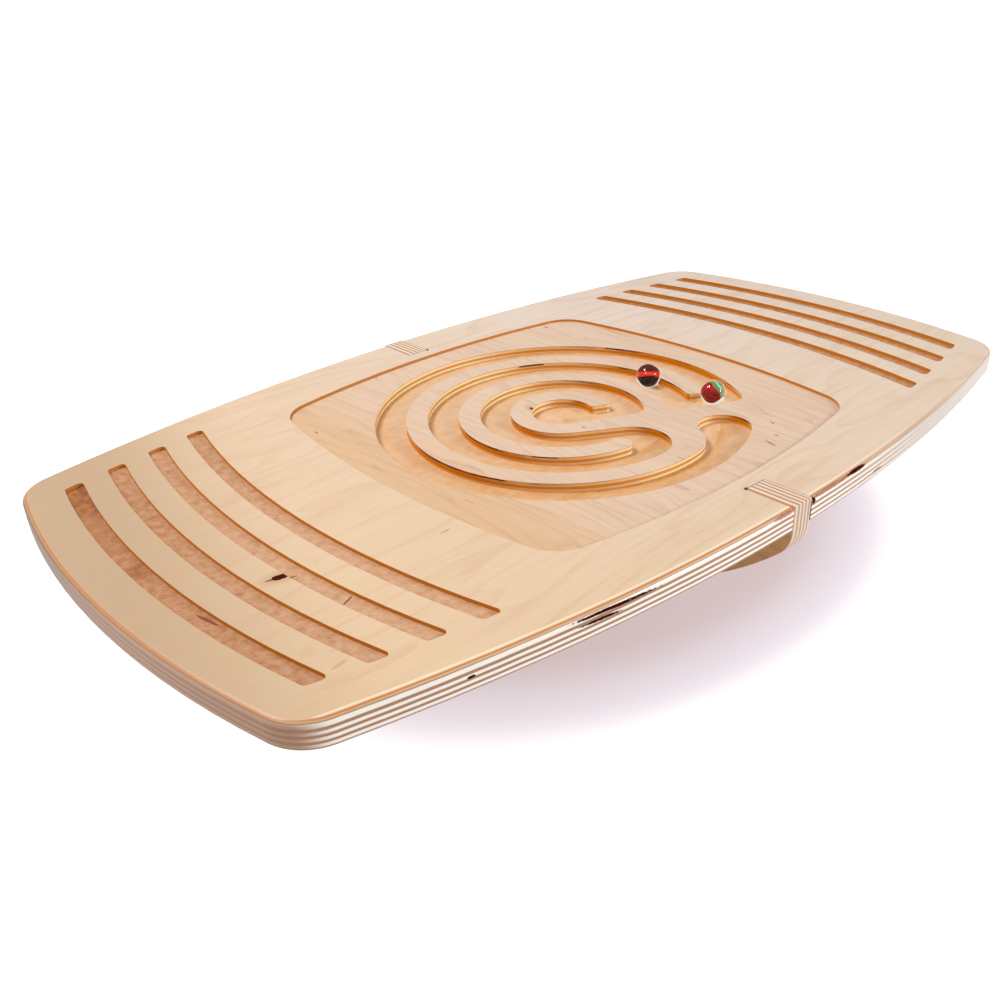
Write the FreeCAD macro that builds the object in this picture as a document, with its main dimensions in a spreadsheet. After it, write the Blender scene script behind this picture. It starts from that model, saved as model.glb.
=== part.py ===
import FreeCAD, Part
import math
import os
from collections import namedtuple

import Sketcher

# Driving sizes, in millimetres and degrees. Azimuths turn from +X towards +Y about the maze centre.
SIZES = {
    "deck_length": 600.0,
    "deck_width": 350.0,
    "deck_thickness": 15.0,
    "deck_side_radius": 1163.0,
    "deck_end_radius": 537.0,
    "deck_corner_radius": 27.0,
    "deck_edge_round": 3.0,
    "recess_length": 276.2,
    "recess_width": 270.6,
    "recess_side_radius": 581.0,
    "recess_end_radius": 564.0,
    "recess_corner_radius": 24.5,
    "recess_depth": 1.8,
    "channel_width": 19.0,
    "channel_depth": 5.2,
    "maze_wall": 13.25,
    "pit_radius": 19.0,
    "inner_gate_azimuth": -25.0,
    "outer_gate_azimuth": -28.3,
    "hook_corner_round": 2.5,
    "wall_corner_round": 3.0,
    "turn_radius": 21.5,
    "turn_exit_azimuth": 58.0,
    "turn_tip_azimuth": 261.0,
    "pocket_radius": 16.1,
    "pocket_azimuth": 300.9,
    "pocket_land_round": 28.0,
    "groove_count": 4.0,
    "groove_width": 10.35,
    "groove_depth": 2.1,
    "groove_pitch": 25.5,
    "groove_end_inset": 22.6,
    "groove_side_inset": 24.0,
    "groove_corner_round": 2.5,
    "rocker_thickness": 15.0,
    "rocker_drop": 81.0,
    "rocker_end_straight": 0.3,
    "rocker_corner_radius": 20.0,
    "rocker_tab_length": 29.5,
    "rocker_tab_setback": 0.5,
    "tab_side_clearance": 0.1,
    "tab_end_clearance": 0.1,
    "tab_relief_radius": 1.6,
    "marble_diameter": 16.0,
    "marble_clearance": 0.3,
    "marble_core_radius": 5.4,
    "ring_marble_azimuth": -3.6,
    "gate_marble_distance": 96.7,
}

# A cut that opens through an edge runs this far past it.
CUT_OVERRUN = 5.0
# Ends of an outline nearer than this are the same point.
SAME_POINT = 1e-6
# An edge that stays this close to a plane lies in it.
ON_PLANE = 1e-4

Arc = namedtuple("Arc", "centre radius start end")


class Size(float):
    """A number that keeps the sheet expression that it was worked out from."""

    def __new__(cls, value, text):
        number = super().__new__(cls, value)
        number.text = text
        return number

    def joined(self, sign, other, value):
        other_text = getattr(other, "text", repr(float(other)))
        return Size(value, f"({self.text} {sign} {other_text})")

    def __add__(self, other):
        return self.joined("+", other, float(self) + float(other))

    def __sub__(self, other):
        return self.joined("-", other, float(self) - float(other))

    def __mul__(self, other):
        return self.joined("*", other, float(self) * float(other))

    def __truediv__(self, other):
        return self.joined("/", other, float(self) / float(other))


def size(name):
    return Size(SIZES[name], f"Dimensions.{name}")


# Plane geometry

def polar(radius, azimuth, centre=(0.0, 0.0)):
    angle = math.radians(azimuth)
    return (centre[0] + radius * math.cos(angle), centre[1] + radius * math.sin(angle))


def bearing(start, end):
    return math.degrees(math.atan2(end[1] - start[1], end[0] - start[0]))


def meeting_point(centre_a, distance_a, centre_b, distance_b):
    """The point at both distances from two centres, on the left of the way from a to b."""
    span = math.dist(centre_a, centre_b)
    along = (span ** 2 + distance_a ** 2 - distance_b ** 2) / (2 * span)
    across = math.sqrt(distance_a ** 2 - along ** 2)
    heading = bearing(centre_a, centre_b)
    return polar(across, heading + 90, polar(along, heading, centre_a))


def turned_past(angle, least):
    """The same direction, written as the first angle that isn't below the least one."""
    return least + (angle - least) % 360


def first_point(piece):
    return polar(piece.radius, piece.start, piece.centre) if isinstance(piece, Arc) else piece


def last_point(piece):
    return polar(piece.radius, piece.end, piece.centre) if isinstance(piece, Arc) else piece


# Sketches

def origin_plane(body, role):
    return next(plane for plane in body.Origin.OriginFeatures if plane.Role == role)


def new_sketch(body, name, role="XY_Plane", height=None):
    sketch = body.newObject("Sketcher::SketchObject", name)
    sketch.AttachmentSupport = (origin_plane(body, role), [""])
    sketch.MapMode = "FlatFace"
    if height is not None:
        sketch.setExpression("AttachmentOffset.Base.z", height.text)
    return sketch


def add_arc(sketch, arc):
    """Adds an arc, and says which of its ends the outline meets first and last."""
    low, high = sorted((float(arc.start), float(arc.end)))
    centre = FreeCAD.Vector(arc.centre[0], arc.centre[1], 0)
    circle = Part.Circle(centre, FreeCAD.Vector(0, 0, 1), float(arc.radius))
    index = sketch.addGeometry(Part.ArcOfCircle(circle, math.radians(low), math.radians(high)))
    if math.hypot(*arc.centre) < SAME_POINT:
        sketch.addConstraint(Sketcher.Constraint("Coincident", index, 3, -1, 1))
    if isinstance(arc.radius, Size):
        constraint = sketch.addConstraint(Sketcher.Constraint("Radius", index, float(arc.radius)))
        sketch.setExpression(f"Constraints[{constraint}]", arc.radius.text)
    ends = (1, 2) if arc.end > arc.start else (2, 1)
    return index, ends


def add_line(sketch, start, end):
    line = Part.LineSegment(FreeCAD.Vector(start[0], start[1], 0), FreeCAD.Vector(end[0], end[1], 0))
    return sketch.addGeometry(line), (1, 2)


def add_outline(sketch, outline):
    """Adds a closed outline of arcs and corner points, with straight edges where they don't touch."""
    edges = []
    for piece, following in zip(outline, outline[1:] + outline[:1]):
        if isinstance(piece, Arc):
            edges.append(add_arc(sketch, piece))
        if math.dist(last_point(piece), first_point(following)) > SAME_POINT:
            edges.append(add_line(sketch, last_point(piece), first_point(following)))
    for (index, ends), (next_index, next_ends) in zip(edges, edges[1:] + edges[:1]):
        joint = Sketcher.Constraint("Coincident", index, ends[1], next_index, next_ends[0])
        sketch.addConstraint(joint)


# Features

def add_pad(body, sketch, name, length):
    pad = body.newObject("PartDesign::Pad", name)
    pad.Profile = sketch
    pad.setExpression("Length", length.text)
    return pad


def add_pocket(body, sketch, name, depth):
    """Cuts the sketch's outline down from its plane, and makes sure that it took material away."""
    whole = body.Tip.Shape.Volume
    pocket = body.newObject("PartDesign::Pocket", name)
    pocket.Profile = sketch
    pocket.setExpression("Length", depth.text)
    body.Document.recompute()
    if pocket.Shape.Volume >= whole:
        raise ValueError(f"{name} cuts nothing")
    return pocket


def edges_at_height(shape, height):
    names = []
    for number, edge in enumerate(shape.Edges, start=1):
        box = edge.BoundBox
        if abs(box.ZMin - height) < ON_PLANE and abs(box.ZMax - height) < ON_PLANE:
            names.append(f"Edge{number}")
    return names


# Outlines

def bowed_rectangle(name):
    """The deck's or the recess's outline: its four sides bow outwards and its corners are round."""
    side_radius = size(f"{name}_side_radius")
    end_radius = size(f"{name}_end_radius")
    corner_radius = size(f"{name}_corner_radius")
    side_centre = (0.0, float(size(f"{name}_width") / 2 - side_radius))
    end_centre = (float(size(f"{name}_length") / 2 - end_radius), 0.0)
    corner = meeting_point(end_centre, end_radius - corner_radius,
                           side_centre, side_radius - corner_radius)
    end_reach = bearing(end_centre, corner)
    side_reach = bearing(side_centre, corner)
    half = [
        Arc(corner, corner_radius, end_reach, side_reach),
        Arc(side_centre, side_radius, side_reach, 180 - side_reach),
        Arc((-corner[0], corner[1]), corner_radius, 180 - side_reach, 180 - end_reach),
        Arc((-end_centre[0], 0.0), end_radius, 180 - end_reach, 180 + end_reach),
    ]
    return half + [Arc((-arc.centre[0], -arc.centre[1]), arc.radius, arc.start + 180, arc.end + 180)
                   for arc in half]


def foot_groove(number):
    """One curved foot groove of the +X end, counted inwards from the end of the deck."""
    radius = size("deck_end_radius")
    inset = size("groove_end_inset") + size("groove_pitch") * number
    centre = (float(size("deck_length") / 2 - inset - radius), 0.0)
    side_centre = (0.0, float(size("deck_width") / 2 - size("deck_side_radius")))
    side_radius = size("deck_side_radius") - size("groove_side_inset")
    corner = size("groove_corner_round")
    inner_radius = radius - size("groove_width")
    outer = meeting_point(centre, radius - corner, side_centre, side_radius - corner)
    inner = meeting_point(centre, inner_radius + corner, side_centre, side_radius - corner)
    outer_reach = bearing(centre, outer)
    inner_reach = bearing(centre, inner)
    outer_side = bearing(side_centre, outer)
    inner_side = bearing(side_centre, inner)
    outer_mirrored = (outer[0], -outer[1])
    inner_mirrored = (inner[0], -inner[1])
    return [
        Arc(centre, radius, -outer_reach, outer_reach),
        Arc(outer, corner, outer_reach, outer_side),
        Arc(inner, corner, inner_side, 180 + inner_reach),
        Arc(centre, inner_radius, inner_reach, -inner_reach),
        Arc(inner_mirrored, corner, 180 - inner_reach, 360 - inner_side),
        Arc(outer_mirrored, corner, -outer_side, -outer_reach),
    ]


def maze_ring_radii():
    """The inner and outer radii of the three rings of the channel, from the middle outwards."""
    radii = []
    outer = size("pit_radius")
    for _ in range(3):
        inner = outer + size("maze_wall")
        outer = inner + size("channel_width")
        radii.append((inner, outer))
    return radii


def gate_side(middle_radius, azimuth):
    """The middle of the round that ends a ring where a gate leaves it, beside the gate's azimuth."""
    half_width = size("channel_width") / 2
    return azimuth - math.degrees(math.asin(half_width / middle_radius))


def wall_end(outer_radius, inner_radius, azimuth, corner):
    """The two rounded corners of a wall that ends square across its ring, outer corner first."""
    outer_distance = outer_radius - corner
    inner_distance = inner_radius + corner
    outer_azimuth = azimuth + math.degrees(math.asin(corner / outer_distance))
    inner_azimuth = azimuth + math.degrees(math.asin(corner / inner_distance))
    face = azimuth - 90
    return [
        Arc(polar(outer_distance, outer_azimuth), corner, outer_azimuth, face),
        Arc(polar(inner_distance, inner_azimuth), corner, face, inner_azimuth - 180),
    ]


def maze_channel():
    """The outline of the one winding channel, with the open channel on its left all the way."""
    middle = (0.0, 0.0)
    (hook_radius, third_outer), (second_inner, second_outer), (first_inner, first_outer) = maze_ring_radii()
    half_width = size("channel_width") / 2
    outer_gate = size("outer_gate_azimuth")
    inner_gate = size("inner_gate_azimuth")
    third_start = gate_side(hook_radius + half_width, inner_gate)
    second_start = gate_side(second_inner + half_width, outer_gate)
    first_start = gate_side(first_inner + half_width, outer_gate)
    wall_corners = wall_end(first_inner, second_outer, outer_gate, size("wall_corner_round"))
    hook_corners = wall_end(hook_radius, size("pit_radius"), inner_gate, size("hook_corner_round"))

    pocket_radius = size("pocket_radius")
    pocket_azimuth = size("pocket_azimuth")
    pocket = polar(first_outer - pocket_radius, pocket_azimuth)
    land_round = size("pocket_land_round")
    land = meeting_point(pocket, pocket_radius + land_round, middle, first_inner - land_round)
    pocket_end = turned_past(bearing(pocket, land), pocket_azimuth)
    land_azimuth = turned_past(bearing(middle, land), 0)

    turn_radius = size("turn_radius")
    exit_azimuth = size("turn_exit_azimuth")
    turn_distance = second_outer - turn_radius
    turn_opening = math.degrees(math.acos((hook_radius + turn_radius) / turn_distance))
    turn_azimuth = exit_azimuth + 180 + turn_opening
    tip_azimuth = size("turn_tip_azimuth")
    tip_round = float(size("maze_wall") / 2)

    return [
        Arc(middle, first_outer, first_start, pocket_azimuth),
        Arc(pocket, pocket_radius, pocket_azimuth, pocket_end),
        Arc(land, land_round, pocket_end - 180, land_azimuth),
        Arc(middle, first_inner, land_azimuth, wall_corners[0].start),
        *wall_corners,
        Arc(middle, second_outer, wall_corners[1].end + 180, turn_azimuth),
        Arc(polar(turn_distance, turn_azimuth), turn_radius, turn_azimuth, exit_azimuth + 360),
        Arc(middle, hook_radius, exit_azimuth + 180, hook_corners[0].start),
        *hook_corners,
        Arc(middle, size("pit_radius"), hook_corners[1].end + 180, inner_gate + 270),
        Arc(polar(hook_radius + half_width, third_start), half_width, inner_gate - 90, third_start),
        Arc(middle, third_outer, third_start, tip_azimuth),
        Arc(polar(third_outer + tip_round, tip_azimuth), tip_round, tip_azimuth - 180, tip_azimuth - 360),
        Arc(middle, second_inner, tip_azimuth, second_start),
        Arc(polar(second_inner + half_width, second_start), half_width, second_start + 180, outer_gate + 270),
        Arc(polar(first_inner + half_width, first_start), half_width, outer_gate + 270, first_start + 360),
    ]


def tab_notch():
    """The open-ended notch of the -Y edge, with a round cutter relief in its inner -X corner."""
    half_width = float(size("rocker_thickness") / 2 + size("tab_side_clearance"))
    mouth = -float(size("deck_width") / 2) - CUT_OVERRUN
    inner_end = size("deck_width") / 2 - size("rocker_tab_setback") - size("rocker_tab_length")
    bottom = -float(inner_end - size("tab_end_clearance"))
    return [
        (-half_width, mouth),
        (half_width, mouth),
        (half_width, bottom),
        Arc((-half_width, bottom), size("tab_relief_radius"), 0, 270),
    ]


def rocker_profile():
    """The upright rocker plate seen along X: a curved foot below and a tab at each top corner."""
    corner = size("rocker_corner_radius")
    underside = size("rocker_drop")
    top = underside + size("deck_thickness")
    end = size("deck_width") / 2 - size("rocker_tab_setback")
    shoulder = end - size("rocker_tab_length")
    reach = end - corner
    height = underside - size("rocker_end_straight")
    # The arc of the foot touches the floor in the middle and runs on smoothly into both corners.
    arc_radius = (reach * reach + height * height - corner * corner) / ((height - corner) * 2)
    arc_centre = (0.0, float(arc_radius))
    corner_centre = (float(reach), float(height))
    corner_start = bearing(arc_centre, corner_centre)
    return [
        Arc(arc_centre, arc_radius, -180 - corner_start, corner_start),
        Arc(corner_centre, corner, corner_start, 0),
        (float(end), float(top)),
        (float(shoulder), float(top)),
        (float(shoulder), float(underside)),
        (-float(shoulder), float(underside)),
        (-float(shoulder), float(top)),
        (-float(end), float(top)),
        Arc((-corner_centre[0], corner_centre[1]), corner, -180, -180 - corner_start),
    ]


# Pieces

def make_sheet(document):
    sheet = document.addObject("Spreadsheet::Sheet", "Dimensions")
    for row, (name, value) in enumerate(SIZES.items(), start=1):
        sheet.set(f"A{row}", name)
        sheet.set(f"B{row}", str(value))
        sheet.setAlias(f"B{row}", name)
    document.recompute()


def make_deck(document):
    """The plywood deck with its recess, maze channel, foot grooves and two tab notches."""
    body = document.addObject("PartDesign::Body", "Deck")
    body.Label = "deck"
    body.setExpression("Placement.Base.z", size("rocker_drop").text)
    thickness = size("deck_thickness")

    outline = new_sketch(body, "DeckOutline")
    add_outline(outline, bowed_rectangle("deck"))
    board = add_pad(body, outline, "DeckBoard", thickness)
    document.recompute()

    rounding = body.newObject("PartDesign::Fillet", "DeckEdgeRound")
    rims = edges_at_height(board.Shape, 0.0) + edges_at_height(board.Shape, float(thickness))
    rounding.Base = (board, rims)
    rounding.setExpression("Radius", size("deck_edge_round").text)
    document.recompute()

    recess = new_sketch(body, "RecessOutline", height=thickness)
    add_outline(recess, bowed_rectangle("recess"))
    add_pocket(body, recess, "Recess", size("recess_depth"))

    channel = new_sketch(body, "ChannelOutline", height=thickness)
    add_outline(channel, maze_channel())
    add_pocket(body, channel, "MazeChannel", size("recess_depth") + size("channel_depth"))

    grooves = new_sketch(body, "FootGrooveOutlines", height=thickness)
    for number in range(int(SIZES["groove_count"])):
        add_outline(grooves, foot_groove(number))
    groove_cut = add_pocket(body, grooves, "FootGrooves", size("groove_depth"))
    mirrored = body.newObject("PartDesign::Mirrored", "FootGroovesMirrored")
    mirrored.Originals = [groove_cut]
    mirrored.MirrorPlane = (origin_plane(body, "YZ_Plane"), [""])
    body.Tip = mirrored
    document.recompute()

    notch = new_sketch(body, "TabNotchOutline", height=thickness)
    add_outline(notch, tab_notch())
    notch_cut = add_pocket(body, notch, "TabNotch", thickness)
    pair = body.newObject("PartDesign::PolarPattern", "TabNotchPair")
    pair.Originals = [notch_cut]
    pair.Axis = (notch, ["N_Axis"])
    pair.Angle = 360
    pair.Occurrences = 2
    body.Tip = pair
    return body


def make_rocker(document):
    """The upright plywood plate that the board rocks on, with a tab into each deck notch."""
    body = document.addObject("PartDesign::Body", "Rocker")
    body.Label = "rocker"
    profile = new_sketch(body, "RockerProfile", role="YZ_Plane")
    add_outline(profile, rocker_profile())
    plate = add_pad(body, profile, "RockerPlate", size("rocker_thickness"))
    plate.SideType = "Symmetric"
    return body


def make_ball(document, name, radius):
    ball = document.addObject("Part::Sphere", name)
    ball.setExpression("Radius", radius.text)
    return ball


def place_marble(piece, distance, azimuth, offset, height):
    """Puts a piece at a distance along an azimuth, and then an offset to its right."""
    along = f"{azimuth.text} * 1 deg"
    piece.setExpression("Placement.Base.x", f"{distance.text} * cos({along}) + {offset.text} * sin({along})")
    piece.setExpression("Placement.Base.y", f"{distance.text} * sin({along}) - {offset.text} * cos({along})")
    piece.setExpression("Placement.Base.z", height.text)


def make_marble(document, number, distance, azimuth, offset):
    """A clear glass ball round a core of coloured glass, standing on the channel's floor."""
    name = f"Marble{number}"
    radius = size("marble_diameter") / 2
    channel_floor = (size("rocker_drop") + size("deck_thickness")
                     - size("recess_depth") - size("channel_depth"))
    height = channel_floor + size("marble_clearance") + radius
    core = make_ball(document, f"{name}Core", size("marble_core_radius"))
    core.Label = f"marble_{number}_core"
    ball = make_ball(document, f"{name}Ball", radius)
    for piece in (core, ball):
        place_marble(piece, distance, azimuth, offset, height)
    glass = document.addObject("Part::Cut", f"{name}Glass")
    glass.Base = ball
    glass.Tool = core
    glass.Label = f"marble_{number}_glass"
    return [glass, core]


def check(document, pieces):
    """Stops before anything is written if an object failed or a piece isn't a sound solid."""
    for item in document.Objects:
        if "Invalid" in item.State or "Error" in item.State:
            raise ValueError(f"{item.Name} did not build: {item.State}")
    for piece in pieces:
        if piece.Shape.isNull() or not piece.Shape.isValid() or len(piece.Shape.Solids) != 1:
            raise ValueError(f"{piece.Label} is not one sound solid")


def main():
    document = FreeCAD.newDocument("MarbleMazeBalanceBoard")
    make_sheet(document)
    pieces = [make_deck(document), make_rocker(document)]
    # One marble leans on the outer wall of the second ring, and the other on the wall beside the outer gate.
    lean = size("marble_diameter") / 2 + size("marble_clearance")
    second_outer = maze_ring_radii()[1][1]
    pieces += make_marble(document, 1, second_outer - lean, size("ring_marble_azimuth"), Size(0, "0"))
    pieces += make_marble(document, 2, size("gate_marble_distance"), size("outer_gate_azimuth"), lean)
    document.recompute()
    check(document, pieces)
    os.makedirs("parts", exist_ok=True)
    for piece in pieces:
        piece.Shape.exportStep(f"parts/{piece.Label}.step")
        print(piece.Label, round(piece.Shape.Volume, 1), "cubic mm")


main()
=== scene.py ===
import math

import bmesh
import bpy
from mathutils import Matrix, Vector


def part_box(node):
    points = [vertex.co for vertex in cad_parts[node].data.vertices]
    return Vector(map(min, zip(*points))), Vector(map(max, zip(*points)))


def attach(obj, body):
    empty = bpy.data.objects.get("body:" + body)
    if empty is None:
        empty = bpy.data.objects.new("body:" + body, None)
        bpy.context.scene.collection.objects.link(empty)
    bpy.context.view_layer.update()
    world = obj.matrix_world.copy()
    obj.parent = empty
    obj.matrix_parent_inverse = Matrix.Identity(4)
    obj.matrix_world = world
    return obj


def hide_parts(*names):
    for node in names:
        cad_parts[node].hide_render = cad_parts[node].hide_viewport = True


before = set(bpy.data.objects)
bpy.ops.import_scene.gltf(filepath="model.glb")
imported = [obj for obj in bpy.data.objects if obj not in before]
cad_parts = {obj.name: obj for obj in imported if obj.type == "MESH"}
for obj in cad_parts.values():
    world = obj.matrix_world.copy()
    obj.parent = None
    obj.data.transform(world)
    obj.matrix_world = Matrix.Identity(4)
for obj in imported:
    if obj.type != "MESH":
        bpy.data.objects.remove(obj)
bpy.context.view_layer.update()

# Heights and the rocker's box in millimetres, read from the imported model
MM = 1000.0
deck_low, deck_high = (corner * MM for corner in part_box("deck"))
rocker_low, rocker_high = (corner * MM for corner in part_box("rocker"))
DECK_TOP = deck_high.z
SHEET = deck_high.z - deck_low.z

# The deck's outline in millimetres: length and width over its bows, and the radii of the bows
DECK_LENGTH = 600.0
DECK_WIDTH = 350.0
SIDE_RADIUS = 1163.0
END_RADIUS = 537.0

# The deck's hollows: the recess's reach and depth, the maze's rings and where the foot grooves start
RECESS_REACH = 139.0
RECESS_DEPTH = 1.8
RING_PITCH = 32.25
CHANNEL_WIDTH = 19.0
FOOT_GROOVE_START = 150.0

# The rocker's tabs, which fill the deck's notches, and how far from the middle the notches start
HALF_TAB = rocker_high.x
TAB_LENGTH = 29.5
NOTCH_START = rocker_high.y - TAB_LENGTH

# Where one veneer of the sheet ends and the next begins, from one face to the other, and how softly
VENEER_ENDS = (1.2, 3.2, 4.9, 6.5, 8.0, 9.6, 11.0, 12.5, 13.8)
GLUE_LINE_SOFTNESS = 0.16

# Marks in the wood: place, half length, half width and lean in degrees
KNOT_PLACE = (-227.5, -42.7)
KNOT_LEAN = -11
SMALL_KNOT_PLACE = (-10, 17)
FACE_MARKS = (
    ((-245.6, -118.3), 4.5, 1.2, 8),
    ((-146.4, -65.1), 4.0, 1.0, 5),
)
FLOOR_MARKS = (
    ((50, -119), 4.8, 0.8, 78),
    ((61, -115.4), 1.6, 0.7, 80),
    ((74, -103.5), 2.2, 0.7, 75),
    ((102, 120), 3.5, 0.9, 85),
    ((-8, -26), 1.6, 0.8, 85),
    ((-124, 86), 2.0, 0.7, 85),
)
GROOVE_CRACKS = (
    ((-267.5, -47.6), 1.0, 8.5, 12),
    ((-214.6, -78.9), 4.6, 0.7, 25),
)

# Varnish stains in the foot grooves: place across and along the board, half sizes and strength
GROOVE_STAINS = (
    ((108, -261), 34, 14, 0.9),
    ((14, -271), 9, 8, 0.6),
    ((-92, -251), 16, 6, 0.35),
)

# Scorched places on the channels' walls: place, half length and how far down they reach
WALL_SCORCHES = (
    ((41, 71.5), 9, 1.4),
    ((-96, -4), 13, 1.0),
    ((-91, -34), 11, 1.0),
    ((-52, -38), 8, 0.9),
    ((104, 52), 8, 1.0),
)

# Knots, voids and burns of the near edge: place along it and below the face, half sizes and lean
EDGE_BURNS = (
    ((52.5, 1.0), 9.5, 0.85, 0),
    ((9.4, 2.4), 1.7, 1.9, 0),
    ((75.8, 9.4), 5.5, 0.35, 0),
    ((-132, 2.5), 25, 0.85, 1.5),
    ((-141, 5.6), 12, 0.8, 2.5),
    ((-207.6, 6.4), 2.2, 0.8, 0),
)
EDGE_SCORCHES = (
    ((27, 1.15), 22, 0.85),
    ((-15, 1.3), 9, 0.95),
)


def srgb(red, green, blue):
    """A colour as a picture gives it, 0 to 255, in the linear numbers that nodes use."""
    def linear(value):
        share = value / 255
        return share / 12.92 if share <= 0.04045 else ((share + 0.055) / 1.055) ** 2.4
    return (linear(red), linear(green), linear(blue), 1.0)


# Colours of the plywood

# The face's left colour is painted shade, and its near and far right colours are painted sheen
LEFT_FACE_SHADED = srgb(180, 151, 119)
FACE_WARM = srgb(214, 183, 147)
NEAR_FACE_SHEEN = srgb(217, 195, 173)
FAR_FACE_SHEEN = srgb(218, 199, 184)
FACE_RING = srgb(196, 152, 112)
FLOOR_WARM = srgb(214, 185, 160)
# The recess floor's left colour is painted shade
SHADED_LEFT_RECESS_FLOOR = srgb(209, 171, 131)
FLOOR_RING = srgb(180, 132, 94)
CHANNEL_WARM = srgb(219, 184, 148)
# The channel's deep colour serves both its mottle and painted shade
CHANNEL_DEEP = srgb(198, 136, 66)
GROOVE_LIGHT = srgb(206, 164, 127)
GROOVE_DARK = srgb(160, 102, 54)
GROOVE_STAIN = srgb(162, 92, 10)
GROOVE_STAIN_DARK = srgb(124, 62, 6)
LIGHT_VENEER = srgb(252, 246, 236)
DARK_VENEER = srgb(163, 111, 76)
RIGHT_LIGHT_VENEER = srgb(204, 187, 175)
RIGHT_DARK_VENEER = srgb(197, 180, 169)
# The left end's veneer colours are painted shade, darkest towards its far part
SHADED_LEFT_PALE_PLY = srgb(194, 158, 136)
SHADED_LEFT_DARK_PLY = srgb(178, 134, 106)
SHADED_FAR_LEFT_PALE_PLY = srgb(134, 110, 98)
SHADED_FAR_LEFT_DARK_PLY = srgb(120, 96, 86)
# Wall colours by facing: the front ones are painted light and highlight, the side ones orange wood darkened
# with painted shade
FRONT_WALLS_HIGHLIT_LIGHT = srgb(255, 234, 182)
FRONT_WALLS_LIT_DARK = srgb(216, 150, 74)
SIDE_WALLS_ORANGE_SHADED_LIGHT = srgb(205, 122, 12)
SIDE_WALLS_ORANGE_SHADED_DARK = srgb(193, 108, 6)
WALL_FOOT = srgb(226, 168, 98)
WALL_BURNT = srgb(86, 22, 8)
GROOVE_WALL = srgb(198, 118, 26)
RIM_LINE = srgb(164, 90, 22)
RIM_SKIN = srgb(186, 114, 42)
RIM_HIGHLIGHT = srgb(250, 232, 204)
BURNT = srgb(66, 18, 8)
SCORCHED = srgb(156, 92, 38)
KNOT = srgb(66, 24, 14)
KNOT_HALO = srgb(190, 132, 84)
FLECK = srgb(120, 70, 44)
ROCKER_LIGHT_VENEER = srgb(230, 202, 176)
ROCKER_DARK_VENEER = srgb(172, 134, 108)
ROCKER_FACE = srgb(226, 172, 112)
ROCKER_RING = srgb(178, 118, 66)

# Colours of the marbles

CLEAR_BLUE = srgb(225, 235, 245)
CLEAR_GREEN = srgb(200, 240, 225)
MARBLE_BLACK = srgb(14, 5, 5)
MARBLE_RED = srgb(190, 26, 6)
MARBLE_ORANGE = srgb(236, 84, 22)
MARBLE_MAROON = srgb(70, 10, 4)
MARBLE_DEEP_RED = srgb(116, 5, 3)
MARBLE_SCARLET = srgb(158, 10, 5)
MARBLE_GREEN = srgb(82, 120, 62)
MARBLE_TEAL = srgb(120, 190, 180)

# Colours of the studio floor, in linear numbers

WHITE = (1, 1, 1, 1)
FLOOR_FOR_LIGHT = (0.62, 0.61, 0.60, 1)
FLOOR_FOR_EYE = (0.42, 0.42, 0.42, 1)
# The floor's glows under and beside the board are painted shadow
GLOW_IN_PAINTED_SHADOW = (0.44, 0.34, 0.355, 1)
GLOW_AT_PAINTED_SHADOW_EDGE = (0.60, 0.54, 0.61, 1)


class Field:
    """A number over a surface. Arithmetic on it adds math nodes to its tree."""

    def __init__(self, tree, socket):
        self.tree = tree
        self.socket = socket

    def __add__(self, other):
        return self.tree.math("ADD", self, other)

    __radd__ = __add__

    def __sub__(self, other):
        return self.tree.math("SUBTRACT", self, other)

    def __rsub__(self, other):
        return self.tree.math("SUBTRACT", other, self)

    def __mul__(self, other):
        return self.tree.math("MULTIPLY", self, other)

    def __truediv__(self, other):
        return self.tree.math("DIVIDE", self, other)

    def __abs__(self):
        return self.tree.math("ABSOLUTE", self)

    def fraction(self):
        return self.tree.math("FRACT", self)

    def root(self):
        return self.tree.math("SQRT", self)

    def at_most(self, other):
        return self.tree.math("MINIMUM", self, other)

    def at_least(self, other):
        return self.tree.math("MAXIMUM", self, other)

    def rise(self, low, high):
        """0 below low, 1 above high and a smooth step between. high below low makes it fall."""
        node = self.tree.add("ShaderNodeMapRange", interpolation_type="SMOOTHSTEP", clamp=True)
        self.tree.feed(node.inputs["Value"], self)
        node.inputs["From Min"].default_value = low
        node.inputs["From Max"].default_value = high
        return Field(self.tree, node.outputs["Result"])

    def within(self, low, high, soft):
        """1 between low and high, with soft sides."""
        return self.rise(low - soft, low + soft) * self.rise(high + soft, high - soft)


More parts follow.
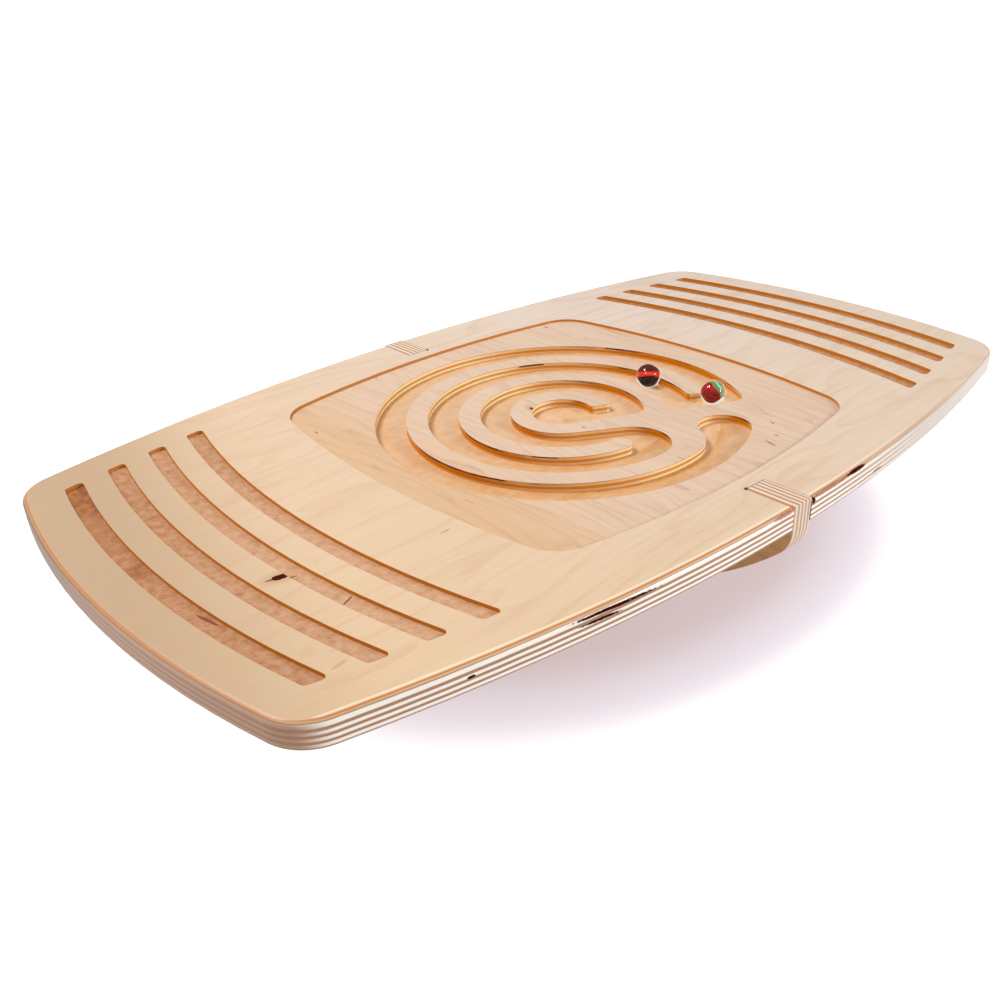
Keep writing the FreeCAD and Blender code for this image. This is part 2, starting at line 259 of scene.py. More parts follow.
class Tree:
    """A material's node tree with short calls for what the surfaces here need."""

    def __init__(self, name):
        self.material = bpy.data.materials.new(name)
        self.material.use_nodes = True
        self.nodes = self.material.node_tree.nodes
        self.links = self.material.node_tree.links
        self.nodes.clear()

    def add(self, kind, **settings):
        node = self.nodes.new(kind)
        for name, value in settings.items():
            setattr(node, name, value)
        return node

    def feed(self, socket, value):
        if isinstance(value, Field):
            self.links.new(value.socket, socket)
        elif isinstance(value, bpy.types.NodeSocket):
            self.links.new(value, socket)
        else:
            socket.default_value = value

    def math(self, operation, first, second=None):
        node = self.add("ShaderNodeMath", operation=operation)
        self.feed(node.inputs[0], first)
        if second is not None:
            self.feed(node.inputs[1], second)
        return Field(self, node.outputs[0])

    def split(self, vector_socket):
        node = self.add("ShaderNodeSeparateXYZ")
        self.links.new(vector_socket, node.inputs[0])
        return [Field(self, node.outputs[axis]) for axis in range(3)]

    def vector(self, x, y, z):
        node = self.add("ShaderNodeCombineXYZ")
        for socket, value in zip(node.inputs, (x, y, z)):
            self.feed(socket, value)
        return node.outputs[0]

    def place(self):
        """Position in millimetres and the surface's own normal, both in the model's frame."""
        node = self.add("ShaderNodeTexCoord")
        position = [axis * MM for axis in self.split(node.outputs["Object"])]
        return position, self.split(node.outputs["Normal"])

    def noise(self, vector, detail=2.0, roughness=0.5):
        """Smooth noise from 0 to 1 whose lumps are about one unit of the vector wide."""
        node = self.add("ShaderNodeTexNoise")
        self.feed(node.inputs["Vector"], vector)
        node.inputs["Scale"].default_value = 1.0
        node.inputs["Detail"].default_value = detail
        node.inputs["Roughness"].default_value = roughness
        return Field(self, node.outputs["Fac"])

    def steps(self, value, ends, whole):
        """0 and 1 in turn between the given ends of a range that runs from 0 to whole."""
        node = self.add("ShaderNodeValToRGB")
        node.color_ramp.interpolation = "CONSTANT"
        self.feed(node.inputs[0], value / whole)
        marks = node.color_ramp.elements
        marks[0].position = 0.0
        marks[0].color = (0, 0, 0, 1)
        marks[1].position = ends[0] / whole
        marks[1].color = (1, 1, 1, 1)
        for count, end in enumerate(ends[1:]):
            mark = marks.new(end / whole)
            level = count % 2
            mark.color = (level, level, level, 1)
        return Field(self, node.outputs[0])

    def length(self, first, second):
        """The length of a flat vector from its two parts."""
        return (first * first + second * second).root()

    def mix(self, share, first, second):
        """A colour between two, either of which may be a colour or a socket."""
        node = self.add("ShaderNodeMix", data_type="RGBA", clamp_factor=True)
        self.feed(node.inputs[0], share)
        self.feed(node.inputs[6], first)
        self.feed(node.inputs[7], second)
        return node.outputs[2]

    def blend(self, share, first, second):
        """A number between two."""
        return first + (second - first) * share

    def bump(self, height, distance):
        node = self.add("ShaderNodeBump")
        node.inputs["Distance"].default_value = distance / MM
        self.feed(node.inputs["Height"], height)
        return node.outputs[0]

    def principled(self, **values):
        """The surface shader. A keyword's underscores stand for the spaces in a socket's name."""
        shader = self.add("ShaderNodeBsdfPrincipled")
        for name, value in values.items():
            self.feed(shader.inputs[name.replace("_", " ")], value)
        output = self.add("ShaderNodeOutputMaterial")
        self.links.new(shader.outputs[0], output.inputs["Surface"])
        return self.material


def spot(tree, along, across, centre, half_length, half_width, lean=0.0, ragged=0.0):
    """How far a place is from a mark's centre, as a share of the mark's own half sizes."""
    cosine, sine = math.cos(math.radians(lean)), math.sin(math.radians(lean))
    offset_along = along - centre[0]
    offset_across = across - centre[1]
    forward = offset_along * (cosine / half_length) + offset_across * (sine / half_length)
    sideways = offset_across * (cosine / half_width) - offset_along * (sine / half_width)
    distance = tree.length(forward, sideways)
    if ragged:
        distance = distance + (tree.noise(tree.vector(along / 2, across / 2, 0.0)) - 0.5) * ragged
    return distance


# Plywood

class Veneer:
    """The birch figure on a flat face: growth rings cut along the log, fibres and small marks."""

    def __init__(self, tree, along, across, seed, ring_width, bend=0.0, waver=0.9):
        slow = tree.noise(tree.vector(along / 260 + seed, across / 60, seed))
        wander = tree.noise(tree.vector(along / 80, across / 18 + seed, seed * 2.0))
        height = across / ring_width + slow * 9 + wander * waver + bend
        ring = height.fraction()
        self.rings = ring.rise(0.55, 0.95) * ring.rise(1.0, 0.95)
        self.lines = ring.rise(0.86, 0.96) * ring.rise(1.0, 0.97)
        self.tone = tree.noise(tree.vector(along / 110, across / 24, seed + 3.0))
        hair_wide = tree.vector(along / 16, across * 1.3, seed + 5.0)
        self.fibre = tree.noise(hair_wide, detail=3.0, roughness=0.65)
        vein_wide = tree.vector(along / 45, across / 3.2, seed + 6.0)
        self.streaks = tree.noise(vein_wide, detail=3.0, roughness=0.6)
        pores = tree.noise(tree.vector(along / 2.4, across * 2.2, seed + 7.0), detail=1.0)
        patches = tree.noise(tree.vector(along / 30, across / 12, seed + 9.0))
        self.patches = patches.rise(0.40, 0.62)
        self.flecks = pores.rise(0.72, 0.80) * patches.rise(0.50, 0.62)

    def figure(self, rings, tone, streaks, fibre):
        """How dark the wood is at a place, from the given strength of each part of its figure."""
        return (self.rings * rings + (self.tone - 0.5) * tone
                + (self.streaks - 0.5) * streaks + (self.fibre - 0.5) * fibre)


class CutEdge:
    """The light and dark veneers of the sheet where it is cut through."""

    def __init__(self, tree, depth, along, across, wobble_seed, wobble):
        waver = (tree.noise(tree.vector(along / 40, across / 40, wobble_seed)) - 0.5) * wobble
        sharp = [
            tree.steps(depth + waver + shift, VENEER_ENDS, SHEET)
            for shift in (-GLUE_LINE_SOFTNESS, 0.0, GLUE_LINE_SOFTNESS)
        ]
        self.tree = tree
        self.light = (sharp[0] + sharp[1] + sharp[2]) / 3.0

    def colour(self, streak, light, dark):
        """The edge's colour from its two veneers' colours, streaked along the veneers."""
        return self.tree.mix((1.0 - self.light) + (streak - 0.5) * 0.4, light, dark)


def streaks_along(tree, along, across, depth):
    way = tree.vector((along + across) / 9, (along - across) / 9, depth * 2.5)
    return tree.noise(way, detail=4.0, roughness=0.6)


class DeckSurface(Tree):
    """The deck's tree, with each point's place on the board, its region and the veneers' figure."""

    def __init__(self):
        super().__init__("deck_birch_plywood")
        (self.x, self.y, z), (self.normal_x, self.normal_y, normal_z) = self.place()
        self.depth = DECK_TOP - z
        self.top_side = self.depth.rise(10, 9)
        self.find_inset()
        self.find_hollows()
        self.find_flats(abs(normal_z))
        self.grow_wood()

    def find_inset(self):
        """How far a place lies inside the bowed sides and ends of the outline."""
        from_side = SIDE_RADIUS - self.length(self.x, abs(self.y) + (SIDE_RADIUS - DECK_WIDTH / 2))
        from_end = END_RADIUS - self.length(abs(self.x) + (END_RADIUS - DECK_LENGTH / 2), self.y)
        self.inset = from_side.at_most(from_end)

    def find_hollows(self):
        """The hollows' floors, 1.8 mm down in the recess, 2.1 in a foot groove and 7.0 in the channel."""
        along, across, depth = abs(self.x), abs(self.y), self.depth
        below_face = depth.rise(0.6, 1.2)
        self.in_recess = (along.rise(RECESS_REACH + 4, RECESS_REACH + 3)
                          * across.rise(RECESS_REACH + 1, RECESS_REACH))
        self.recess = self.in_recess * below_face * depth.rise(5.0, 4.0)
        self.channel = self.in_recess * depth.rise(5.0, 6.5) * depth.rise(9.0, 8.0)
        in_grooves = along.rise(FOOT_GROOVE_START - 2, FOOT_GROOVE_START + 2) * self.inset.rise(6, 8)
        self.groove = in_grooves * below_face * depth.rise(4.0, 3.0)
        walls = self.in_recess * depth.rise(8.0, 7.5) + in_grooves * depth.rise(2.6, 2.4)
        self.inner = walls.at_most(1.0)

    def find_flats(self, upward):
        """Level wood. The face veneer's skin follows the edge's round down to the first glue line."""
        level = upward.rise(0.80, 0.97)
        skin = upward.rise(0.66, 0.72).at_least(level)
        self.flat = self.blend(self.inner, skin, level)

    def grow_wood(self):
        """Grain along the board on its face and across it on the veneer below, and the grooves' fuzz."""
        x, y = self.x, self.y
        knot_push = spot(self, x, y, KNOT_PLACE, 30, 10).rise(1.0, 0.0) * 0.9
        self.face = Veneer(self, x, y, 1.7, 26, bend=knot_push)
        self.crossband = Veneer(self, y, x, 8.3, 9, waver=3.2)
        self.mottle = self.noise(self.vector(x / 5, y / 5, 2.0), detail=4.0, roughness=0.62)
        self.hairs = self.noise(self.vector((x + y) / 0.8, (x - y) / 7, 5.0), roughness=0.6)

    def marked(self, colour, marks, strength, tint):
        """The colour with small marks of another tint on it."""
        for place, reach, width, lean in marks:
            mark = spot(self, self.x, self.y, place, reach, width, lean=lean, ragged=0.5)
            colour = self.mix(mark.rise(1.2, 0.6) * strength, colour, tint)
        return colour


def face_colour(deck):
    """The face, paler and pinker towards the right end with painted sheen, and darker at the left one with
    painted shade.
    """
    # Painted sheen: paler and pinker towards the right end
    pale = deck.mix(deck.y.rise(-150, 150), NEAR_FACE_SHEEN, FAR_FACE_SHEEN)
    colour = deck.mix(deck.x.rise(-330, 200), FACE_WARM, pale)
    # Painted shade: darker at the left end
    colour = deck.mix((deck.x - deck.y * 0.3).rise(-180, -290), colour, LEFT_FACE_SHADED)
    figure = deck.face.figure(rings=0.2, tone=0.4, streaks=0.6, fibre=0.4)
    colour = deck.mix(figure + 0.06, colour, FACE_RING)
    colour = deck.mix(deck.face.flecks * 0.3, colour, FLECK)
    return deck.marked(colour, FACE_MARKS, 0.55, KNOT_HALO)


def recess_colour(deck):
    wood = deck.crossband
    figure = wood.lines * wood.patches * 0.25 + wood.figure(rings=0.16, tone=0.5, streaks=0.5, fibre=0.4)
    # Painted shade: the recess floor darker towards the left end
    colour = deck.mix(deck.x.rise(-60, -130), FLOOR_WARM, SHADED_LEFT_RECESS_FLOOR)
    colour = deck.mix(figure + 0.04, colour, FLOOR_RING)
    return deck.marked(colour, FLOOR_MARKS, 0.75, FLECK)


def channel_colour(deck):
    """The channel's floor, mottled, with painted shade and orange bounce light against the far walls, and
    darker towards the near left.
    """
    x, y = deck.x, deck.y
    radius = deck.length(x, y)
    toward_outside = (radius / RING_PITCH).fraction() * (RING_PITCH / CHANNEL_WIDTH)
    far_side = (y / radius) * 0.5 + 0.5
    toward_far_wall = deck.blend(far_side, 1.0 - toward_outside, toward_outside)
    # Painted shade and orange bounce light on the floor next to the far walls
    wall_shade_and_bounce = toward_far_wall.rise(0.45, 1.05) * abs(y / radius).rise(0.1, 0.6)
    cloud = deck.noise(deck.vector(x / 9, y / 9, 12.0), detail=4.0, roughness=0.65)
    grain = (deck.face.streaks - 0.5) * 0.6 + (deck.face.fibre - 0.5) * 0.3
    mottle_and_shade = (cloud - 0.42) * 1.1 + wall_shade_and_bounce * 0.45 + (x + y).rise(60, -120) * 0.3
    return deck.mix(mottle_and_shade + grain + 0.1, CHANNEL_WARM, CHANNEL_DEEP)


def groove_cracks(deck):
    cracks = 0.0
    for place, reach, width, lean in GROOVE_CRACKS:
        crack = spot(deck, deck.x, deck.y, place, reach, width, lean=lean, ragged=0.8)
        cracks = crack.rise(1.1, 0.7).at_least(cracks)
    return cracks


def groove_colour(deck, cracks):
    """The foot grooves' floors, darker towards both ends and the far side, most in the outermost one at the
    left.
    """
    x, y = deck.x, deck.y
    darkening = (abs(x + 60).rise(150, 215) * 0.25 + y.rise(-60, 120) * 0.3
                + x.rise(-226, -262) * 0.18)
    tone = deck.mottle.rise(0.30, 0.75) * 0.5 + deck.hairs.rise(0.5, 0.75) * 0.3 + darkening + 0.1
    colour = deck.mix(tone, GROOVE_LIGHT, GROOVE_DARK)
    stain_colour = deck.mix(deck.mottle.rise(0.40, 0.60), GROOVE_STAIN, GROOVE_STAIN_DARK)
    for place, reach, width, strength in GROOVE_STAINS:
        stain = spot(deck, y, x, place, reach, width, ragged=0.6).rise(1.15, 0.35)
        colour = deck.mix(stain * strength, colour, stain_colour)
    return deck.mix(cracks * 0.8, colour, FLECK)


def add_knots(deck, colour):
    """The knot between two grooves, with its tails, and the small one in the maze's middle land."""
    knot = spot(deck, deck.x, deck.y, KNOT_PLACE, 4.2, 2.4, lean=KNOT_LEAN, ragged=0.7)
    tails = spot(deck, deck.x, deck.y, KNOT_PLACE, 8.5, 0.8, lean=KNOT_LEAN, ragged=0.5)
    colour = deck.mix(knot.rise(3.4, 1.0) * deck.top_side * 0.45, colour, KNOT_HALO)
    knot = knot.rise(1.15, 0.85).at_least(tails.rise(1.1, 0.7) * 0.9) * deck.top_side
    colour = deck.mix(knot, colour, KNOT)
    small = spot(deck, deck.x, deck.y, SMALL_KNOT_PLACE, 2.4, 1.3, lean=80, ragged=0.5)
    colour = deck.mix(small.rise(4.0, 1.0) * deck.top_side * 0.5, colour, KNOT_HALO)
    small = small.rise(1.1, 0.8) * deck.top_side * 0.9
    return deck.mix(small, colour, KNOT), knot.at_least(small)


def brown_rim(deck, colour):
    """The skin that the router browned where the edge's round begins, with a painted highlight line inside
    it.
    """
    x, depth = deck.x, deck.depth
    # Painted highlight: a pale line on the face along the near edge, where its round begins
    near_highlight = depth.rise(0.05, 0.02) * x.rise(160, 20) * deck.y.rise(-128, -142)
    colour = deck.mix(deck.inset.within(2.9, 4.2, 0.3) * near_highlight * 0.5, colour, RIM_HIGHLIGHT)
    browned = depth.within(0.08, 0.40, 0.04) * x.rise(90, 0) * 0.65
    skin = 0.24 + x.rise(0, 100) * 0.16 - x.rise(130, 220) * 0.37 + deck.normal_x.rise(-0.4, -0.8) * 0.2
    return deck.mix(depth.within(0.05, 1.4, 0.03) * (skin + browned), colour, RIM_SKIN)


def outer_edge_colour(deck, edge, streak, left_end):
    """The cut edge: pale and striped along the near side, plainer towards the right, and browner and nearly
    plain at the left end, where painted shade darkens it most towards the far side.
    """
    toward_right = deck.x.rise(0, 160)
    far_end = deck.y.rise(-50, 110)
    light = deck.mix(toward_right, LIGHT_VENEER, RIGHT_LIGHT_VENEER)
    # Painted shade: the left end's veneers darker, most towards its far part
    light = deck.mix(left_end, light, deck.mix(far_end, SHADED_LEFT_PALE_PLY, SHADED_FAR_LEFT_PALE_PLY))
    dark = deck.mix(toward_right, DARK_VENEER, RIGHT_DARK_VENEER)
    dark = deck.mix(left_end, dark, deck.mix(far_end, SHADED_LEFT_DARK_PLY, SHADED_FAR_LEFT_DARK_PLY))
    colour = edge.colour(streak, light, dark)
    rim = deck.depth.within(0.3, 1.15, 0.15) * (0.6 - deck.x.rise(20, 200) * 0.4)
    return deck.mix(rim, colour, RIM_LINE)


def inner_wall_colour(deck, edge, streak):
    """The hollows' walls: striped, lit and with a painted highlight where they face the near side, deep
    orange and darker with painted shade where they face left.
    """
    x, y, depth = deck.x, deck.y, deck.depth
    # Painted light and shade by facing: lit colours where a wall faces the near side, shaded orange ones
    # where it faces left, paler towards the foot
    sideways = deck.normal_x.rise(-0.1, -0.6) * 0.55 + deck.normal_x.rise(-0.8, -1.0) * 0.45
    turned = deck.normal_x.rise(-0.6, -1.0)
    light = deck.mix(sideways, FRONT_WALLS_HIGHLIT_LIGHT, SIDE_WALLS_ORANGE_SHADED_LIGHT)
    dark = deck.mix(sideways, FRONT_WALLS_LIT_DARK, SIDE_WALLS_ORANGE_SHADED_DARK)
    colour = edge.colour(streak, light, dark)
    colour = deck.mix(sideways * depth.rise(5.2, 6.9) * 0.8, colour, WALL_FOOT)
    scorch = deck.noise(deck.vector(x / 26, y / 26, 7.0)).rise(0.42, 0.60)
    rim = depth.within(RECESS_DEPTH - 0.1, RECESS_DEPTH + 0.3, 0.15)
    # Burn along the recess's depth; on walls that face left, painted shade makes it darker and adds a dark
    # band below it
    top_line = deck.in_recess * rim * (0.15 + scorch * 0.4 + turned * 0.35)
    scorch_and_shade = deck.in_recess * depth.within(2.1, 3.2, 0.4) * turned * scorch
    colour = deck.mix(depth.rise(2.2, 1.9) * 0.85, colour, GROOVE_WALL)
    colour = deck.mix(top_line.at_least(scorch_and_shade * 0.85), colour, WALL_BURNT)
    for place, reach, level in WALL_SCORCHES:
        patch = spot(deck, x, y, place, reach, reach, ragged=0.4).rise(1.1, 0.8)
        patch = patch * deck.in_recess * depth.within(RECESS_DEPTH - 0.1, RECESS_DEPTH + level, 0.25)
        colour = deck.mix(patch * 0.9, colour, WALL_BURNT)
    return colour


def add_edge_burns(deck, colour):
    """Knots, voids and router burns along the near edge."""
    x, y, depth = deck.x, deck.y, deck.depth
    near_side = deck.normal_y.rise(-0.05, -0.25) * y.rise(-140, -150) * depth.rise(0.08, 0.35)
    ragged = deck.noise(deck.vector(x / 5, y / 5, depth / 1.2), detail=4.0, roughness=0.7)
    for place, reach, height in EDGE_SCORCHES:
        scorched = spot(deck, x, depth, place, reach, height, ragged=0.7).rise(1.15, 0.8) * near_side
        colour = deck.mix(scorched * (0.45 + ragged * 0.7), colour, SCORCHED)
    burns = 0.0
    for place, reach, height, lean in EDGE_BURNS:
        burn = spot(deck, x, depth, place, reach, height, lean=lean, ragged=0.7)
        burns = burn.rise(1.15, 0.8).at_least(burns)
    burns = burns * near_side * ragged.rise(0.24, 0.40)
    return deck.mix(burns, colour, BURNT), burns


def add_tab_joint(deck, colour):
    """The dark line round the rocker's tabs, partly the joint's own colour and partly painted shade in the
    gap, with orange filler at the left of the near one.
    """
    off_middle = abs(deck.x)
    into_notch = abs(deck.y) - NOTCH_START
    # Painted shade in the gap round the tabs, over the joint's own dark line
    sides = off_middle.within(HALF_TAB - 0.15, HALF_TAB + 0.4, 0.12) * into_notch.rise(-0.5, 0.5)
    end = off_middle.rise(HALF_TAB + 0.3, HALF_TAB - 0.1) * into_notch.within(-0.5, 0.3, 0.15)
    strength = 0.7 - deck.depth.rise(0.5, 2.0) * 0.35
    colour = deck.mix(sides.at_least(end) * strength, colour, WALL_BURNT)
    near_notch = deck.y.rise(1.0 - NOTCH_START, -1.0 - NOTCH_START)
    filled = deck.x.within(-HALF_TAB - 1.0, -HALF_TAB + 0.2, 0.3) * near_notch
    return deck.mix(filled * 0.8, colour, GROOVE_WALL)


def deck_plywood():
    deck = DeckSurface()
    cracks = groove_cracks(deck)
    flat_colour = deck.mix(deck.recess, face_colour(deck), recess_colour(deck))
    flat_colour = deck.mix(deck.channel, flat_colour, channel_colour(deck))
    flat_colour = deck.mix(deck.groove, flat_colour, groove_colour(deck, cracks))
    flat_colour, knots = add_knots(deck, flat_colour)
    flat_colour = brown_rim(deck, flat_colour)

    edge = CutEdge(deck, deck.depth - deck.inner * 0.5, deck.x, deck.y, wobble_seed=4.0, wobble=0.3)
    streak = streaks_along(deck, deck.x, deck.y, deck.depth)
    left_end = deck.normal_x.rise(-0.25, -0.75)
    outer_colour = outer_edge_colour(deck, edge, streak, left_end)
    side_colour = deck.mix(deck.inner, outer_colour, inner_wall_colour(deck, edge, streak))

    colour = deck.mix(deck.flat, side_colour, flat_colour)
    colour, burns = add_edge_burns(deck, colour)
    colour = add_tab_joint(deck, colour)

    # Burnt and broken wood has no gloss, and the left end has little
    marks = knots.at_least(cracks * deck.groove).at_least(burns)
    gloss = (1.0 - marks) * (1.0 - left_end * (1.0 - deck.flat) * 0.8)
    rough = 0.42 + (deck.face.fibre - 0.5) * 0.12 + deck.groove * deck.flat * 0.16
    height = (deck.face.fibre * 0.5 + deck.crossband.fibre * deck.recess
              + (deck.mottle + deck.hairs) * deck.groove * 2)
    return deck.principled(
        Base_Color=colour, Roughness=rough, IOR=1.48, Specular_IOR_Level=gloss * 0.5,
        Coat_Weight=gloss * 0.15, Coat_Roughness=0.25, Normal=deck.bump(height, 0.05),
    )


def rocker_plywood():
    tree = Tree("rocker_birch_plywood")
    (x, y, z), (normal_x, _, _) = tree.place()
    depth = x - rocker_low.x

    # Grain runs along the plate on its faces
    face = Veneer(tree, y, z, 14.2, 18)
    figure = face.figure(rings=0.25, tone=0.4, streaks=0.5, fibre=0.35)
    flat_colour = tree.mix(figure + 0.1, ROCKER_FACE, ROCKER_RING)
    flat_colour = tree.mix(face.flecks * 0.4, flat_colour, FLECK)

    edge = CutEdge(tree, depth, z, y, wobble_seed=6.0, wobble=0.35)
    streak = streaks_along(tree, z, y, depth)
    side_colour = edge.colour(streak, ROCKER_LIGHT_VENEER, ROCKER_DARK_VENEER)
    return tree.principled(
        Base_Color=tree.mix(abs(normal_x).rise(0.80, 0.97), side_colour, flat_colour),
        Roughness=0.42 + (face.fibre - 0.5) * 0.12, IOR=1.48, Coat_Weight=0.15, Coat_Roughness=0.25,
        Normal=tree.bump(face.fibre, 0.04),
    )


def finish_node(name, material):
    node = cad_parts[name]
    node.data.materials.clear()
    node.data.materials.append(material)


# Marbles

# Upward and to the right as the photograph shows the marbles, in the model's frame
PHOTO_UP = (0.35, 0.34, 0.87)
PHOTO_RIGHT = (0.73, -0.68, 0.0)

# How finely a ball is divided, and the depth of the furrows between a core's vanes as a share of its radius
BALL_DIVISIONS = 5
VANE_FURROW = 0.12


def offset_along(direction, position, centre):
    """How far a place lies from a marble's centre in the given direction, in millimetres."""
    x, y, z = (axis - middle for axis, middle in zip(position, centre))
    return x * direction[0] + y * direction[1] + z * direction[2]


def marble_glass(name, tint):
    tree = Tree(name)
    (x, y, z), _ = tree.place()
    film = tree.noise(tree.vector(x / 5, y / 5, z / 5), detail=1.0)
    return tree.principled(
        Base_Color=tree.mix(film, WHITE, tint), Roughness=0.0, IOR=1.5, Transmission_Weight=1.0,
    )


def red_band_glass(name, centre):
    """Nearly black glass with a red and orange band round its middle and a maroon cap."""
    tree = Tree(name)
    position, _ = tree.place()
    x, y, z = position
    twist = tree.noise(tree.vector(x / 3, y / 3, z / 3)) - 0.5
    height = offset_along(PHOTO_UP, position, centre) + twist * 1.2
    colour = tree.mix(height.rise(-1.15, -0.75), MARBLE_BLACK, MARBLE_RED)
    colour = tree.mix(height.within(-0.2, 1.0, 0.5) * (0.35 + twist * 2.5), colour, MARBLE_ORANGE)
    colour = tree.mix(height.rise(1.5, 2.1), colour, MARBLE_MAROON)
    return tree.principled(Base_Color=colour, Roughness=0.5, Specular_IOR_Level=0.0)


def red_and_green_glass(name, centre):
    """Deep red glass with a green patch high on the right and a little pale teal beside it."""
    tree = Tree(name)
    position, _ = tree.place()
    x, y, z = position
    twist = tree.noise(tree.vector(x / 3, y / 3, z / 3 + 4.0)) - 0.5
    right = offset_along(PHOTO_RIGHT, position, centre)
    height = offset_along(PHOTO_UP, position, centre)
    corner = right * 0.8 + height * 0.6 + twist * 1.6
    colour = tree.mix(twist.rise(-0.15, 0.15), MARBLE_DEEP_RED, MARBLE_SCARLET)
    colour = tree.mix(corner.rise(1.3, 1.8), colour, MARBLE_GREEN)
    colour = tree.mix(corner.rise(3.0, 3.6), colour, MARBLE_TEAL)
    return tree.principled(Base_Color=colour, Roughness=0.5, Specular_IOR_Level=0.0)


def new_piece(name, mesh, material, body, replaced):
    for polygon in mesh.polygons:
        polygon.use_smooth = True
    mesh.materials.append(material)
    piece = bpy.data.objects.new(name, mesh)
    bpy.context.scene.collection.objects.link(piece)
    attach(piece, body)
    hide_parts(replaced)
    return piece


def ball_mesh(name, centre, radius):
    shape = bmesh.new()
    bmesh.ops.create_icosphere(shape, subdivisions=BALL_DIVISIONS, radius=radius)
    bmesh.ops.translate(shape, verts=shape.verts, vec=centre)
    mesh = bpy.data.meshes.new(name)
    shape.to_mesh(mesh)
    shape.free()
    return mesh


def core_mesh(name, centre, radius, vanes, twist):
    """The coloured glass inside a marble: twisted vanes run together into one furrowed ball."""
    mesh = ball_mesh(name, (0, 0, 0), 1.0)
    for vertex in mesh.vertices:
        way = vertex.co.normalized()
        turn = math.atan2(way.y, way.x) + twist * way.z
        depth = VANE_FURROW * (1 - way.z * way.z) * (0.5 - 0.5 * math.cos(vanes * turn))
        vertex.co = centre + way * (radius * (1 - depth))
    return mesh


def add_marble(body, tint, core_glass, core_share, vanes, twist, offset=(0.0, 0.0, 0.0)):
    """A clear ball and its core, whose offset is in millimetres and whose radius is a share of the CAD's."""
    low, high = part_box(body + "_glass")
    centre = (low + high) / 2
    radius = (high.z - low.z) / 2
    core_low, core_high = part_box(body + "_core")
    core_radius = core_share * (core_high.z - core_low.z) / 2
    core_centre = centre + Vector(offset) / MM
    shell = new_piece(
        body + "_clear_ball", ball_mesh(body + "_clear_ball", centre, radius),
        marble_glass(body + "_clear_glass", tint), body, body + "_glass",
    )
    shell.visible_shadow = False
    new_piece(
        body + "_vanes", core_mesh(body + "_vanes", core_centre, core_radius, vanes, twist),
        core_glass(body + "_swirl", centre * MM), body, body + "_core",
    )


# The studio: floor, background, lamps and camera

# The floor's half size in metres, and the painted pale shadow's middle and half sizes in millimetres
FLOOR_HALF_SIZE = 6.0
SHADOW_MIDDLE = (20, 0)
SHADOW_HALF_LENGTH = 220
SHADOW_HALF_WIDTH = 165


def floor_material():
    """A white floor. The camera sees it as bright as the background, with its real shadow and a painted pale
    pinkish shadow round the board.
    """
    tree = Tree("studio_floor")
    (x, y, _), _ = tree.place()
    path = tree.add("ShaderNodeLightPath")
    seen = Field(tree, path.outputs["Is Camera Ray"]).at_least(Field(tree, path.outputs["Is Glossy Ray"]))
    seen = seen.at_least(Field(tree, path.outputs["Is Transmission Ray"]))
    matt = tree.add("ShaderNodeBsdfDiffuse")
    tree.feed(matt.inputs["Color"], tree.mix(seen, FLOOR_FOR_LIGHT, FLOOR_FOR_EYE))
    # Painted shadow: the floor glows dimmer and pinker under and beside the board
    away = spot(tree, x, y, SHADOW_MIDDLE, SHADOW_HALF_LENGTH, SHADOW_HALF_WIDTH)
    painted_shadow_glow = tree.mix(away.rise(0.70, 1.02), GLOW_IN_PAINTED_SHADOW, GLOW_AT_PAINTED_SHADOW_EDGE)
    painted_shadow_glow = tree.mix(away.rise(0.96, 1.22), painted_shadow_glow, WHITE)
    glow = tree.add("ShaderNodeEmission")
    tree.feed(glow.inputs["Color"], painted_shadow_glow)
    tree.feed(glow.inputs["Strength"], seen)
    both = tree.add("ShaderNodeAddShader")
    tree.links.new(matt.outputs[0], both.inputs[0])
    tree.links.new(glow.outputs[0], both.inputs[1])
    output = tree.add("ShaderNodeOutputMaterial")
    tree.links.new(both.outputs[0], output.inputs["Surface"])
    return tree.material


def add_floor():
    shape = bmesh.new()
    bmesh.ops.create_grid(shape, x_segments=8, y_segments=8, size=FLOOR_HALF_SIZE)
    mesh = bpy.data.meshes.new("studio_floor")
    shape.to_mesh(mesh)
    shape.free()
    mesh.materials.append(floor_material())
    floor = bpy.data.objects.new("studio_floor", mesh)
    bpy.context.scene.collection.objects.link(floor)


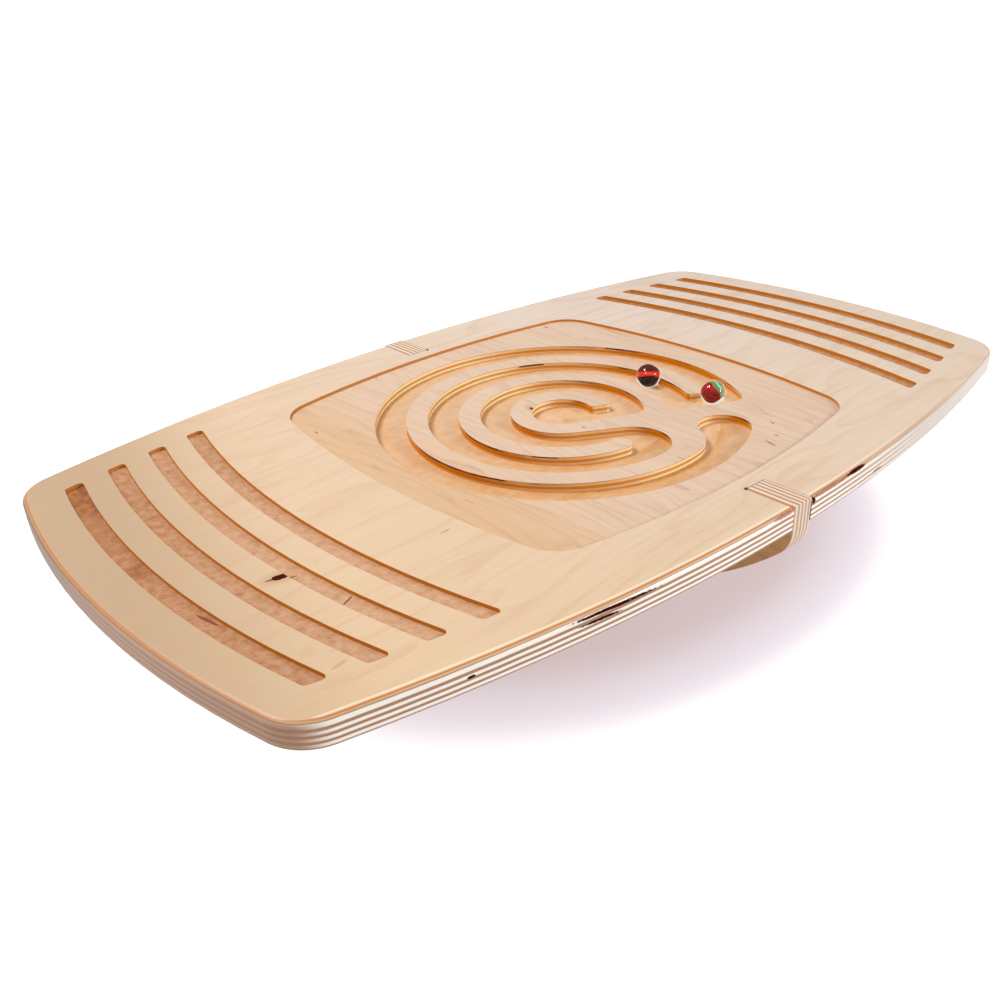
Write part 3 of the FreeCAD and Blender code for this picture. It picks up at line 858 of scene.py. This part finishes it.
def light_world(strength):
    """An even white surround, at full white for what the camera sees straight or through glass."""
    world = bpy.data.worlds.new("studio")
    bpy.context.scene.world = world
    world.use_nodes = True
    nodes, links = world.node_tree.nodes, world.node_tree.links
    nodes.clear()
    path = nodes.new("ShaderNodeLightPath")
    seen = nodes.new("ShaderNodeMath")
    seen.operation = "MAXIMUM"
    links.new(path.outputs["Is Camera Ray"], seen.inputs[0])
    links.new(path.outputs["Is Transmission Ray"], seen.inputs[1])
    level = nodes.new("ShaderNodeMapRange")
    level.inputs["To Min"].default_value = strength
    level.inputs["To Max"].default_value = 1.0
    links.new(seen.outputs[0], level.inputs["Value"])
    glow = nodes.new("ShaderNodeBackground")
    glow.inputs["Color"].default_value = WHITE
    links.new(level.outputs["Result"], glow.inputs["Strength"])
    output = nodes.new("ShaderNodeOutputWorld")
    links.new(glow.outputs[0], output.inputs["Surface"])


def add_softbox(name, direction, distance, size, watts):
    """A square lamp that faces the board from the given direction."""
    lamp = bpy.data.lights.new(name, "AREA")
    lamp.size = size
    lamp.energy = watts
    holder = bpy.data.objects.new(name, lamp)
    bpy.context.scene.collection.objects.link(holder)
    way = Vector(direction).normalized()
    holder.location = way * distance
    holder.rotation_euler = way.to_track_quat("Z", "Y").to_euler()


def add_camera():
    """The photograph's view: the camera's place, the way it looks and its up side, in the model's frame."""
    place = Vector((-0.41825, -0.42552, 0.35589))
    forward = Vector((0.58518, 0.65054, -0.48411)).normalized()
    up = Vector((0.34887, 0.33696, 0.87450))
    right = forward.cross(up).normalized()
    up = right.cross(forward)
    camera = bpy.data.cameras.new("camera")
    camera.sensor_width = 36.0
    camera.lens = 37.644
    camera.shift_x = -0.02314
    camera.shift_y = 0.00892
    camera.clip_start = 0.01
    holder = bpy.data.objects.new("camera", camera)
    bpy.context.scene.collection.objects.link(holder)
    axes = Matrix((right, up, -forward)).transposed()
    holder.matrix_world = Matrix.Translation(place) @ axes.to_4x4()
    bpy.context.scene.camera = holder


finish_node("deck", deck_plywood())
finish_node("rocker", rocker_plywood())
add_marble("marble_1", CLEAR_BLUE, red_band_glass, core_share=0.94, vanes=3, twist=1.2)
add_marble(
    "marble_2", CLEAR_GREEN, red_and_green_glass, core_share=0.86, vanes=4, twist=1.6,
    offset=(-0.5, 0.4, 0.0),
)
add_floor()
light_world(0.44)
add_softbox("front_softbox", (0.38, -0.82, 0.42), distance=1.6, size=0.36, watts=12.0)
add_softbox("top_softbox", (-0.32, 0.42, 0.85), distance=1.6, size=0.48, watts=17.8)
add_softbox("left_softbox", (-0.74, -0.07, 0.67), distance=1.8, size=0.2, watts=2.7)
add_camera()
bpy.context.scene.view_settings.view_transform = "Standard"
